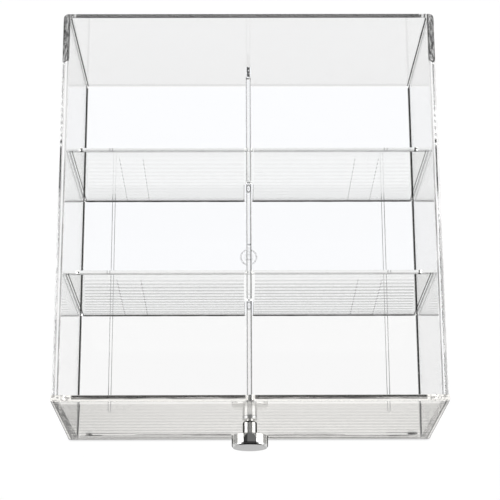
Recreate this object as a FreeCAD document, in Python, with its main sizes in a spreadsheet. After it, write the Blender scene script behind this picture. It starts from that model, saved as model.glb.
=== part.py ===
import FreeCAD, Part
import os
import re
import Sketcher

# A clear moulded drawer with six compartments for coffee pods and a turned metal knob.
# Millimetres, +Z up, +X to the right of someone who faces the drawer, +Y towards its back.
# The origin is the middle of the drawer's own box, knob included, on the surface that it stands on.
# Every piece is drawn with y = 0 on the front panel's face and is then moved back by its Placement.

SIZES = {
    # the whole drawer, from the knob's face to the tray's back
    "overall_depth": 227.0,
    # front panel
    "front_height": 96.0,
    "front_thickness": 3.3,
    "front_overhang": 0.6,
    "front_corner_radius": 1.2,
    "front_edge_radius": 0.9,
    "rear_edge_bevel": 0.2,
    # tray: floor, two sides and back
    "rim_width": 198.8,
    "foot_inset": 1.2,
    "side_wall": 3.6,
    "foot_side_wall": 3.6,
    "back_wall": 2.2,
    "back_lean": 0.1,
    "floor_lift": 1.0,
    "floor_thickness": 2.4,
    "outer_corner_radius": 2.5,
    "inner_corner_radius": 1.4,
    "foot_radius": 1.2,
    "floor_fillet": 0.9,
    "rim_radius": 0.35,
    # runner ribs and the mark of the moulding gate, both under the floor
    "runner_spacing": 155.4,
    "runner_width": 1.8,
    "runner_front": 18.0,
    "runner_length": 127.5,
    "runner_edge_bevel": 0.3,
    "gate_place": 105.2,
    "gate_diameter": 9.6,
    "gate_depth": 0.4,
    "sprue_diameter": 3.0,
    "sprue_depth": 0.25,
    # dividers
    "front_bay": 67.1,
    "middle_bay": 65.7,
    "cross_foot_thickness": 2.6,
    "cross_top_thickness": 2.3,
    "cross_height": 78.6,
    "centre_foot_thickness": 3.1,
    "centre_top_thickness": 2.8,
    "centre_height": 28.1,
    "slot_clearance": 0.75,
    "slot_headroom": 1.8,
    "divider_edge_radius": 0.4,
    "bond_gap": 0.05,
    # knob and its screw
    "knob_height": 48.0,
    "knob_diameter": 19.1,
    "knob_face_diameter": 18.2,
    "knob_thickness": 6.45,
    "knob_edge_radius": 0.5,
    "knob_rear_bevel": 0.25,
    "stem_diameter": 7.5,
    "stem_length": 7.75,
    "stem_root_bevel": 0.3,
    "screw_diameter": 4.0,
    "screw_hole_clearance": 0.15,
    "thread_clearance": 0.05,
    "thread_depth": 10.0,
    "screw_reach": 9.0,
    "screw_tip_bevel": 0.4,
    "screw_head_diameter": 8.0,
    "screw_head_height": 2.6,
    "screw_head_radius": 1.3,
    "recess_span": 4.2,
    "recess_width": 1.0,
    "recess_depth": 1.4,
}

# Heights and places that several pieces share, as expressions of the sizes.
BODY_DEPTH = "(overall_depth - stem_length - knob_thickness)"
FLOOR_TOP = "(floor_lift + floor_thickness)"
FOOT_OF_DIVIDERS = "(%s + bond_gap)" % FLOOR_TOP
RIM_INSIDE = "(rim_width / 2 - side_wall)"
FOOT_OUTSIDE = "(rim_width / 2 - foot_inset)"
FLOOR_INSIDE = "(%s - foot_side_wall)" % FOOT_OUTSIDE
SIDE_SLOPE = "((%s - %s) / (front_height - %s))" % (RIM_INSIDE, FLOOR_INSIDE, FLOOR_TOP)
TRAY_FRONT = "(front_thickness + bond_gap)"
BACK_INSIDE = "(%s - back_wall - back_lean)" % BODY_DEPTH
CROSS_TOP = "(%s + cross_height)" % FOOT_OF_DIVIDERS
CENTRE_TOP = "(%s + centre_height)" % FOOT_OF_DIVIDERS
FRONT_CROSS = "(front_thickness + front_bay + cross_foot_thickness / 2)"
REAR_CROSS = "(%s + middle_bay + cross_foot_thickness)" % FRONT_CROSS
SLOT_WIDTH = "(centre_foot_thickness + 2 * slot_clearance)"
SLOT_TOP = "(%s + slot_headroom)" % CENTRE_TOP
SCREW_SEAT = "(front_thickness + bond_gap)"
HEAD_FACE = "(%s + screw_head_height)" % SCREW_SEAT
BORE_RADIUS = "(screw_diameter / 2 + thread_clearance)"

TOUCH = 0.02
BEYOND = 5

doc = FreeCAD.newDocument("pod_drawer")
sheet = doc.addObject("Spreadsheet::Sheet", "Sizes")
for row, (alias, number) in enumerate(SIZES.items(), start=1):
    sheet.set("A%d" % row, alias)
    sheet.set("B%d" % row, str(number))
    sheet.setAlias("B%d" % row, alias)
doc.recompute()


def sized(text):
    """The expression with each size's name pointed at the sheet."""
    return re.sub("[a-z][a-z_]+", lambda name: "Sizes." + name.group(0), text)


def new_body(label):
    """An empty body, with a Placement that centres the whole drawer on the origin."""
    body = doc.addObject("PartDesign::Body", label)
    body.Label = label
    body.setExpression("Placement.Base.y", sized("(overall_depth - 2 * %s) / 2" % BODY_DEPTH))
    return body


def new_sketch(body, name, plane, lift="0"):
    """A sketch on one of the body's origin planes, lifted along that plane's normal."""
    sketch = body.newObject("Sketcher::SketchObject", name)
    support = [item for item in body.Origin.OriginFeatures if item.Role == plane][0]
    sketch.AttachmentSupport = (support, [""])
    sketch.MapMode = "FlatFace"
    sketch.setExpression("AttachmentOffset.Base.z", sized(lift))
    sketch.Visibility = False
    return sketch


def hold_point(sketch, item, end, across, up):
    """Hold one point of a sketch at two expressions of the sizes."""
    for kind, text in (("DistanceX", across), ("DistanceY", up)):
        held = sketch.addConstraint(Sketcher.Constraint(kind, -1, 1, item, end, 1.0))
        sketch.setExpression("Constraints[%d]" % held, sized(text))


def draw_outline(sketch, corners):
    """A closed outline of straight lines, with each corner held by its two expressions."""
    first = sketch.GeometryCount
    count = len(corners)
    turn = FreeCAD.Rotation(FreeCAD.Vector(0, 0, 1), 360.0 / count)
    spot = FreeCAD.Vector(BEYOND, 0, 0)
    for corner in corners:
        ahead = turn.multVec(spot)
        sketch.addGeometry(Part.LineSegment(spot, ahead), False)
        spot = ahead
    for side in range(count):
        after = first + (side + 1) % count
        sketch.addConstraint(Sketcher.Constraint("Coincident", first + side, 2, after, 1))
    for side, (across, up) in enumerate(corners):
        hold_point(sketch, first + side, 1, across, up)


def draw_circle(sketch, across, up, diameter):
    """A circle held by its centre and its diameter."""
    circle = Part.Circle(FreeCAD.Vector(0, 0, 0), FreeCAD.Vector(0, 0, 1), BEYOND)
    item = sketch.addGeometry(circle, False)
    hold_point(sketch, item, 3, across, up)
    held = sketch.addConstraint(Sketcher.Constraint("Diameter", item, 2.0 * BEYOND))
    sketch.setExpression("Constraints[%d]" % held, sized(diameter))


def extrude(body, kind, name, sketch, length, reverse=False, both_ways=False):
    """A Pad or a Pocket of the sketch. Its length is an expression."""
    feature = body.newObject("PartDesign::" + kind, name)
    feature.Profile = sketch
    feature.Reversed = reverse
    feature.SideType = "Symmetric" if both_ways else "One side"
    feature.setExpression("Length", sized(length))
    return feature


def loft(body, kind, name, low, high):
    """A straight-sided loft between two outlines."""
    feature = body.newObject("PartDesign::" + kind, name)
    feature.Profile = low
    feature.Sections = [high]
    feature.Ruled = True
    return feature


def revolve(body, name, sketch):
    """The outline turned about its sketch's own vertical axis."""
    feature = body.newObject("PartDesign::Revolution", name)
    feature.Profile = sketch
    feature.ReferenceAxis = (sketch, ["V_Axis"])
    feature.Angle = 360.0
    return feature


def span(edge, axis):
    """The lowest and highest coordinate of an edge along one axis: 0, 1 or 2."""
    box = edge.BoundBox
    return ((box.XMin, box.XMax), (box.YMin, box.YMax), (box.ZMin, box.ZMax))[axis]


def lies_at(edge, axis, place):
    """True when the whole edge is at one coordinate."""
    low, high = span(edge, axis)
    return abs(low - place) < TOUCH and abs(high - place) < TOUCH


def runs_between(edge, axis, low, high):
    """True when the edge runs from one coordinate to another."""
    ends = span(edge, axis)
    return abs(ends[0] - low) < TOUCH and abs(ends[1] - high) < TOUCH


def measure(text):
    """The present value of an expression, by way of a cell beside the sizes."""
    sheet.set("D1", "=" + text)
    sheet.recompute()
    return float(sheet.get("D1"))


def dress(body, kind, name, size, chosen):
    """A Fillet or a Chamfer of the tip's edges for which chosen(edge) is true."""
    doc.recompute()
    base = body.Tip
    edges = ["Edge%d" % (place + 1) for place, edge in enumerate(base.Shape.Edges) if chosen(edge)]
    if not edges:
        raise RuntimeError("no edge was found for " + name)
    feature = body.newObject("PartDesign::" + kind, name)
    feature.Base = (base, edges)
    feature.setExpression("Radius" if kind == "Fillet" else "Size", sized(size))
    return feature


def box_outline(half_width, front, back):
    """The corners of a rectangle that is centred across the drawer."""
    left = "-" + half_width
    return [(left, front), (half_width, front), (half_width, back), (left, back)]


# Floor, two sides and back: one moulding with draft, open at the front, where the panel is bonded on.
def make_tray():
    body = new_body("drawer_tray")
    foot = new_sketch(body, "FootOutline", "XY_Plane", "floor_lift")
    draw_outline(foot, box_outline(FOOT_OUTSIDE, TRAY_FRONT, BODY_DEPTH + " - back_lean"))
    rim = new_sketch(body, "RimOutline", "XY_Plane", "front_height")
    draw_outline(rim, box_outline("(rim_width / 2)", TRAY_FRONT, BODY_DEPTH))
    loft(body, "AdditiveLoft", "Shell", foot, rim)
    well_floor = new_sketch(body, "WellFloor", "XY_Plane", FLOOR_TOP)
    draw_outline(well_floor, box_outline(FLOOR_INSIDE, "0", BACK_INSIDE))
    well_rim = new_sketch(body, "WellRim", "XY_Plane", "front_height")
    draw_outline(well_rim, box_outline(RIM_INSIDE, "0", BODY_DEPTH + " - back_wall"))
    loft(body, "SubtractiveLoft", "Well", well_floor, well_rim)
    round_tray(body)
    add_runners(body)
    mark_gate(body)


def round_tray(body):
    foot, floor, rim = measure("floor_lift"), measure(FLOOR_TOP), measure("front_height")
    front, inner_back = measure(TRAY_FRONT), measure(BACK_INSIDE)
    outer_back = measure(BODY_DEPTH + " - back_lean")

    def outer_corner(edge):
        return runs_between(edge, 2, foot, rim) and span(edge, 1)[0] > outer_back - TOUCH

    def inner_corner(edge):
        return runs_between(edge, 2, floor, rim) and span(edge, 1)[0] > inner_back - TOUCH

    def level_edge(height):
        return lambda edge: lies_at(edge, 2, height) and span(edge, 1)[1] > front + TOUCH

    dress(body, "Fillet", "OuterCorners", "outer_corner_radius", outer_corner)
    dress(body, "Fillet", "InnerCorners", "inner_corner_radius", inner_corner)
    dress(body, "Fillet", "FloorFillet", "floor_fillet", level_edge(floor))
    dress(body, "Fillet", "FootRounding", "foot_radius", level_edge(foot))
    dress(body, "Fillet", "RimRounding", "rim_radius", level_edge(rim))


def add_runners(body):
    """Two ribs under the floor that the drawer stands and slides on, with rounded ends and edges."""
    sketch = new_sketch(body, "RunnerOutline", "XY_Plane")
    front, back = "runner_front", "runner_front + runner_length"
    for side in ("-", ""):
        near = side + "(runner_spacing / 2 - runner_width / 2)"
        far = side + "(runner_spacing / 2 + runner_width / 2)"
        draw_outline(sketch, [(near, front), (far, front), (far, back), (near, back)])
    extrude(body, "Pad", "Runners", sketch, "floor_lift + floor_thickness / 2")
    under = measure("floor_lift")
    dress(
        body, "Fillet", "RunnerEnds", "runner_width * 0.48",
        lambda edge: runs_between(edge, 2, 0, under),
    )
    dress(body, "Chamfer", "RunnerEdges", "runner_edge_bevel", lambda edge: lies_at(edge, 2, 0))


def mark_gate(body):
    """The shallow round recess that the moulding gate leaves under the floor, with its sprue stub."""
    recess = new_sketch(body, "GateOutline", "XY_Plane", "floor_lift")
    draw_circle(recess, "0", "gate_place", "gate_diameter")
    extrude(body, "Pocket", "GateRecess", recess, "gate_depth", reverse=True)
    sprue = new_sketch(body, "SprueOutline", "XY_Plane", "floor_lift + gate_depth")
    draw_circle(sprue, "0", "gate_place", "sprue_diameter")
    extrude(body, "Pad", "SprueStub", sprue, "sprue_depth", reverse=True)


# A flat panel, a little wider than the tray, with the hole for the knob's screw.
def make_front_panel():
    body = new_body("front_panel")
    outline = new_sketch(body, "PanelOutline", "XZ_Plane")
    draw_outline(outline, box_outline("(rim_width / 2 + front_overhang)", "0", "front_height"))
    extrude(body, "Pad", "Panel", outline, "front_thickness", reverse=True)
    depth = measure("front_thickness")
    dress(
        body, "Fillet", "PanelCorners", "front_corner_radius",
        lambda edge: runs_between(edge, 1, 0, depth),
    )
    dress(body, "Fillet", "FaceEdges", "front_edge_radius", lambda edge: lies_at(edge, 1, 0))
    dress(body, "Chamfer", "RearEdges", "rear_edge_bevel", lambda edge: lies_at(edge, 1, depth))
    hole = new_sketch(body, "HoleOutline", "XZ_Plane")
    draw_circle(hole, "0", "knob_height", "screw_diameter + 2 * screw_hole_clearance")
    extrude(body, "Pocket", "ScrewHole", hole, "front_thickness")


# The low divider that runs from the front panel to the back wall, wider at its foot.
def make_centre_divider():
    body = new_body("centre_divider")
    start = "(%s + bond_gap)" % TRAY_FRONT
    outline = new_sketch(body, "DividerSection", "XZ_Plane", "-" + start)
    foot, top = "(centre_foot_thickness / 2)", "(centre_top_thickness / 2)"
    draw_outline(outline, [
        ("-" + foot, FOOT_OF_DIVIDERS),
        (foot, FOOT_OF_DIVIDERS),
        (top, CENTRE_TOP),
        ("-" + top, CENTRE_TOP),
    ])
    extrude(body, "Pad", "Divider", outline, "%s - bond_gap - %s" % (BACK_INSIDE, start), reverse=True)
    foot_level, top_level = measure(FOOT_OF_DIVIDERS), measure(CENTRE_TOP)
    back = measure(BACK_INSIDE + " - bond_gap")
    dress(
        body, "Chamfer", "FilletRelief", "floor_fillet",
        lambda edge: lies_at(edge, 2, foot_level) and lies_at(edge, 1, back),
    )
    dress(
        body, "Fillet", "TopRounding", "divider_edge_radius",
        lambda edge: lies_at(edge, 2, top_level) and span(edge, 1)[1] - span(edge, 1)[0] > BEYOND,
    )


# A divider from wall to wall that straddles the centre divider with a slot in its foot.
def make_cross_divider(label, place):
    body = new_body(label)
    section = new_sketch(body, "DividerSection", "YZ_Plane")
    draw_outline(section, [
        (place + " - cross_foot_thickness / 2", FOOT_OF_DIVIDERS),
        (place + " + cross_foot_thickness / 2", FOOT_OF_DIVIDERS),
        (place + " + cross_top_thickness / 2", CROSS_TOP),
        (place + " - cross_top_thickness / 2", CROSS_TOP),
    ])
    extrude(body, "Pad", "Divider", section, "rim_width", both_ways=True)
    cut_ends(body)
    cut_slot(body)
    top_level = measure(CROSS_TOP)
    dress(
        body, "Fillet", "TopRounding", "divider_edge_radius",
        lambda edge: lies_at(edge, 2, top_level) and span(edge, 0)[1] - span(edge, 0)[0] > BEYOND,
    )


def cut_ends(body):
    """Trim both ends to the side walls' draft, with a bevel that clears the fillet along the floor."""
    sketch = new_sketch(body, "EndOutline", "XZ_Plane")
    above, below = "(%s + 1)" % CROSS_TOP, "(%s - 1)" % FOOT_OF_DIVIDERS
    bevel_top = "(%s + floor_fillet)" % FOOT_OF_DIVIDERS
    for side in ("-", ""):
        at_foot = side + "(%s - floor_fillet)" % FLOOR_INSIDE
        at_bevel, at_top = (
            side + "(%s + %s * (%s - %s) - bond_gap)" % (FLOOR_INSIDE, SIDE_SLOPE, height, FLOOR_TOP)
            for height in (bevel_top, above)
        )
        outside = side + "rim_width"
        draw_outline(sketch, [
            (at_foot, below),
            (at_foot, FOOT_OF_DIVIDERS),
            (at_bevel, bevel_top),
            (at_top, above),
            (outside, above),
            (outside, below),
        ])
    extrude(body, "Pocket", "Ends", sketch, "3 * overall_depth", both_ways=True)


def cut_slot(body):
    """The round-topped slot that clears the centre divider."""
    half, spring = SLOT_WIDTH + " / 2", "(%s - %s / 2)" % (SLOT_TOP, SLOT_WIDTH)
    sides = new_sketch(body, "SlotSides", "XZ_Plane")
    draw_outline(sides, box_outline("(%s)" % half, FOOT_OF_DIVIDERS + " - 1", spring))
    extrude(body, "Pocket", "Slot", sides, "3 * overall_depth", both_ways=True)
    arch = new_sketch(body, "SlotArch", "XZ_Plane")
    draw_circle(arch, "0", spring, SLOT_WIDTH)
    extrude(body, "Pocket", "Arch", arch, "3 * overall_depth", both_ways=True)


# A turned knob: a stem and a slightly tapered disc, with a blind tapped hole from behind.
def make_knob():
    body = new_body("knob")
    outline = new_sketch(body, "KnobProfile", "XY_Plane", "knob_height")
    stem, disc, face = "stem_diameter / 2", "knob_diameter / 2", "knob_face_diameter / 2"
    reach = "(%s - overall_depth)" % BODY_DEPTH
    draw_outline(outline, [
        (BORE_RADIUS, "-bond_gap"),
        (stem, "-bond_gap"),
        (stem, "-stem_length"),
        (disc, "-stem_length"),
        (face, reach),
        ("0", reach),
        ("0", "-(thread_depth + %s / 2)" % BORE_RADIUS),
        (BORE_RADIUS, "-thread_depth"),
    ])
    revolve(body, "TurnedKnob", outline)
    root, front = -measure("stem_length"), measure(reach)
    disc_radius, stem_radius = measure(disc), measure(stem)

    def ring(edge, place, radius):
        return lies_at(edge, 1, place) and abs(span(edge, 0)[1] - radius) < TOUCH

    dress(body, "Fillet", "FaceEdge", "knob_edge_radius", lambda edge: ring(edge, front, measure(face)))
    dress(body, "Chamfer", "BackEdge", "knob_rear_bevel", lambda edge: ring(edge, root, disc_radius))
    dress(body, "Chamfer", "StemRoot", "stem_root_bevel", lambda edge: ring(edge, root, stem_radius))


# The pan-head screw that holds the knob from inside the drawer.
def make_screw():
    body = new_body("knob_screw")
    outline = new_sketch(body, "ScrewProfile", "XY_Plane", "knob_height")
    shank, head = "screw_diameter / 2", "screw_head_diameter / 2"
    draw_outline(outline, [
        ("0", "-screw_reach"),
        (shank + " - screw_tip_bevel", "-screw_reach"),
        (shank, "-screw_reach + screw_tip_bevel"),
        (shank, SCREW_SEAT),
        (head, SCREW_SEAT),
        (head, HEAD_FACE),
        ("0", HEAD_FACE),
    ])
    revolve(body, "TurnedScrew", outline)
    head_face, head_radius = measure(HEAD_FACE), measure(head)
    dress(
        body, "Fillet", "HeadRounding", "screw_head_radius",
        lambda edge: lies_at(edge, 1, head_face) and abs(span(edge, 0)[1] - head_radius) < TOUCH,
    )
    cut_recess(body)


def cut_recess(body):
    """The cross in the screw's head."""
    sketch = new_sketch(body, "RecessOutline", "XZ_Plane", "-" + HEAD_FACE)
    arm, half = "recess_span / 2", "recess_width / 2"
    quarter = [(arm, half), (half, half), (half, arm)]
    corners = []
    for across, up in ((1, 1), (-1, 1), (-1, -1), (1, -1)):
        side, above = "" if across > 0 else "-", "+" if up > 0 else "-"
        points = quarter if across * up > 0 else quarter[::-1]
        corners.extend((side + x, "knob_height %s %s" % (above, z)) for x, z in points)
    draw_outline(sketch, corners)
    extrude(body, "Pocket", "Recess", sketch, "recess_depth", reverse=True)


make_tray()
make_front_panel()
make_centre_divider()
make_cross_divider("front_cross_divider", FRONT_CROSS)
make_cross_divider("rear_cross_divider", REAR_CROSS)
make_knob()
make_screw()
sheet.clear("D1")
doc.recompute()

for item in doc.Objects:
    if "Invalid" in item.State or "Error" in item.State:
        raise RuntimeError("%s failed: %s" % (item.Name, item.State))

pieces = [item for item in doc.Objects if item.TypeId == "PartDesign::Body"]
for piece in pieces:
    if piece.Shape.isNull() or not piece.Shape.isValid() or len(piece.Shape.Solids) != 1:
        raise RuntimeError("%s is not one valid solid" % piece.Label)

os.makedirs("parts", exist_ok=True)
for piece in pieces:
    piece.Shape.exportStep("parts/%s.step" % piece.Label)
    box = piece.Shape.BoundBox
    print("%-20s %9.1f mm3  x %.2f..%.2f  y %.2f..%.2f  z %.2f..%.2f" % (
        piece.Label, piece.Shape.Volume, box.XMin, box.XMax, box.YMin, box.YMax, box.ZMin, box.ZMax
    ))
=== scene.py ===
import math

import bpy
import numpy as np
from bpy.props import FloatProperty, FloatVectorProperty, PointerProperty
from mathutils import Matrix, Vector


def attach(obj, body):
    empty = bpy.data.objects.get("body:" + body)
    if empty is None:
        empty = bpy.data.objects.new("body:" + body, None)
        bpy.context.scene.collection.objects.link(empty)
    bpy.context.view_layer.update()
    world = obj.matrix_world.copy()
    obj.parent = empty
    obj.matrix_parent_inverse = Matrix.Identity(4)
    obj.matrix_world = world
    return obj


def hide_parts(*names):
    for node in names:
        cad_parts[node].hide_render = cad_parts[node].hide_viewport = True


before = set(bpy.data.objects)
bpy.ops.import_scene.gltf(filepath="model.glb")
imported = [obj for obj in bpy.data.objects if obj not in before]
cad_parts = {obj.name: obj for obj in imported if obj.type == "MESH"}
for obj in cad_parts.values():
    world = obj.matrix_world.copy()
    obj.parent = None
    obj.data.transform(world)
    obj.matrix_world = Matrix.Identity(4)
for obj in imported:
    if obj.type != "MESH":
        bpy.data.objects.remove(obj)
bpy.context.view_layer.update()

bl_info = {
    "name": "Clear pod drawer",
    "version": (1, 0, 0),
    "blender": (4, 5, 0),
    "location": "View3D > Sidebar > Pod drawer",
    "description": "Dresses the packed pod drawer in clear acrylic, chrome and plated steel",
    "category": "Object",
}

BODY = "root"
MM = 0.001
ACRYLIC_IOR = 1.49


def node_box(name):
    """The lowest and highest corner of a CAD node, in millimetres."""
    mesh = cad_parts[name].data
    points = np.empty(3 * len(mesh.vertices), np.float32)
    mesh.vertices.foreach_get("co", points)
    points = points.reshape(-1, 3) / MM
    return points.min(0).astype(float), points.max(0).astype(float)


PANEL_LOW, PANEL_HIGH = node_box("front_panel")
TRAY_LOW, TRAY_HIGH = node_box("drawer_tray")
KNOB_LOW, KNOB_HIGH = node_box("knob")
SCREW_LOW, SCREW_HIGH = node_box("knob_screw")

# Places and sizes in the CAD part, in millimetres.
FLOOR_TOP = 3.4
FLOOR_HALF = 94.6
RIM_WIDTH = 3.7
RIB_PLACE = 77.7
GATE = (0.0, 5.9, 0.0)
STEM_RADIUS = 3.75
STEM_LENGTH = 7.75
PAN_HEAD_HEIGHT = 2.6

# The middles of the two loops of cement painted as shade on the centre divider, and how far beads stay off the faces
# they join.
LOOP_REAR = (-0.1, 36.9, 0.0)
LOOP_FRONT = (-0.1, -31.3, 0.0)
CEMENT_LIFT = 0.01


# Nodes

def linear(code, alpha=1.0):
    """An sRGB hex colour as linear RGBA."""
    parts = [int(code[place:place + 2], 16) / 255 for place in (0, 2, 4)]
    return [p / 12.92 if p <= 0.04045 else ((p + 0.055) / 1.055) ** 2.4 for p in parts] + [alpha]


def node(tree, kind, inputs=None, **settings):
    """Add a node, set its own settings, and give its inputs a value or another node's output."""
    made = tree.nodes.new(kind)
    for name, value in settings.items():
        setattr(made, name, value)
    for name, value in (inputs or {}).items():
        if isinstance(value, bpy.types.NodeSocket):
            tree.links.new(value, made.inputs[name])
        else:
            made.inputs[name].default_value = value
    return made


def new_material(name):
    """An empty node material."""
    material = bpy.data.materials.new(name)
    material.use_nodes = True
    material.node_tree.nodes.clear()
    return material


def millimetres(tree):
    """The three Object coordinates in millimetres, and the distance from the middle plane."""
    place = node(tree, "ShaderNodeTexCoord").outputs["Object"]
    scaled = node(tree, "ShaderNodeVectorMath", {0: place, 1: (1000, 1000, 1000)}, operation="MULTIPLY").outputs[0]
    across, along, up = node(tree, "ShaderNodeSeparateXYZ", {0: scaled}).outputs
    wide = node(tree, "ShaderNodeMath", {0: across}, operation="ABSOLUTE").outputs[0]
    return scaled, across, along, up, wide


def zone(tree, *limits):
    """1 inside every limit and 0 outside: a product of smooth steps, from (value, low, high, softness)."""
    inside = 1.0
    for value, low, high, soft in limits:
        for edge, start, end in ((low, 0.0, 1.0), (high, 1.0, 0.0)):
            if edge is not None:
                step = node(tree, "ShaderNodeMapRange", {
                    "Value": value, "From Min": edge - soft / 2, "From Max": edge + soft / 2,
                    "To Min": start, "To Max": end,
                }, interpolation_type="SMOOTHSTEP").outputs[0]
                inside = node(tree, "ShaderNodeMath", {0: inside, 1: step}, operation="MULTIPLY").outputs[0]
    return inside


def overlap(tree, first, *others):
    """The product of several masks."""
    for other in others:
        first = node(tree, "ShaderNodeMath", {0: first, 1: other}, operation="MULTIPLY").outputs[0]
    return first


def darken(tree, value, mask, amount):
    """The value less the given share of it where the mask is 1."""
    left = node(tree, "ShaderNodeMath", {0: mask, 1: -amount, 2: 1.0}, operation="MULTIPLY_ADD").outputs[0]
    return node(tree, "ShaderNodeMath", {0: value, 1: left}, operation="MULTIPLY").outputs[0]


def mottle(tree, place, stretch, low, high, start=0.0, end=1.0):
    """Soft blotches: a noise field stretched along the axes, in marks per millimetre, and cut between two levels."""
    field = node(tree, "ShaderNodeVectorMath", {0: place, 1: stretch}, operation="MULTIPLY").outputs[0]
    noise = node(tree, "ShaderNodeTexNoise", {"Vector": field, "Scale": 1.0, "Detail": 2.0}).outputs[0]
    return node(tree, "ShaderNodeMapRange", {
        "Value": noise, "From Min": low, "From Max": high, "To Min": start, "To Max": end,
    }, interpolation_type="SMOOTHSTEP").outputs[0]


def profile(tree, value, *stops):
    """A chain of straight runs along a value, from pairs of place and level."""
    low, high = stops[0][0], stops[-1][0]
    share = node(tree, "ShaderNodeMapRange", {"Value": value, "From Min": low, "From Max": high}).outputs[0]
    chain = node(tree, "ShaderNodeValToRGB", {0: share})
    elements = chain.color_ramp.elements
    for index, (place, level) in enumerate(stops):
        element = elements[index] if index < 2 else elements.new(1.0)
        element.position = (place - low) / (high - low)
        element.color = (level, level, level, 1)
    return chain.outputs[0]


def ring_distance(tree, place, middle, stretch):
    """The distance of each place from a middle, after each axis is stretched by its own share."""
    spoke = node(tree, "ShaderNodeVectorMath", {0: place, 1: middle}, operation="SUBTRACT").outputs[0]
    spoke = node(tree, "ShaderNodeVectorMath", {0: spoke, 1: stretch}, operation="MULTIPLY").outputs[0]
    return node(tree, "ShaderNodeVectorMath", {0: spoke}, operation="LENGTH").outputs["Value"]


def glass(tree, clear, tint=(1, 1, 1), mirrors=1.0):
    """Clear acrylic: what goes through it and what its outside mirrors are both as strong as clear, which carries each
    material's painted shade.
    """
    passes = node(tree, "ShaderNodeVectorMath", {0: tint, "Scale": clear}, operation="SCALE").outputs[0]
    outside = node(tree, "ShaderNodeMath", {0: clear, 1: mirrors}, operation="MULTIPLY").outputs[0]
    inside = node(tree, "ShaderNodeNewGeometry").outputs["Backfacing"]
    mirror = node(tree, "ShaderNodeMix", {0: inside, 2: outside, 3: 1.0}, data_type="FLOAT").outputs[0]
    bend = node(tree, "ShaderNodeBsdfRefraction", {"Color": passes, "Roughness": 0.0, "IOR": ACRYLIC_IOR})
    shine = node(tree, "ShaderNodeBsdfGlossy", {"Color": mirror, "Roughness": 0.0})
    fresnel = node(tree, "ShaderNodeFresnel", {"IOR": ACRYLIC_IOR})
    surface = node(tree, "ShaderNodeMixShader", {0: fresnel.outputs[0], 1: bend.outputs[0], 2: shine.outputs[0]})
    lamp_share = 0.95
    lamps_pass = node(tree, "ShaderNodeBsdfTransparent", {"Color": (lamp_share, lamp_share, lamp_share, 1)})
    light = node(tree, "ShaderNodeLightPath")
    mix = node(tree, "ShaderNodeMixShader", {
        0: light.outputs["Is Shadow Ray"], 1: surface.outputs[0], 2: lamps_pass.outputs[0],
    })
    node(tree, "ShaderNodeOutputMaterial", {"Surface": mix.outputs[0]})


# Materials

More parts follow.
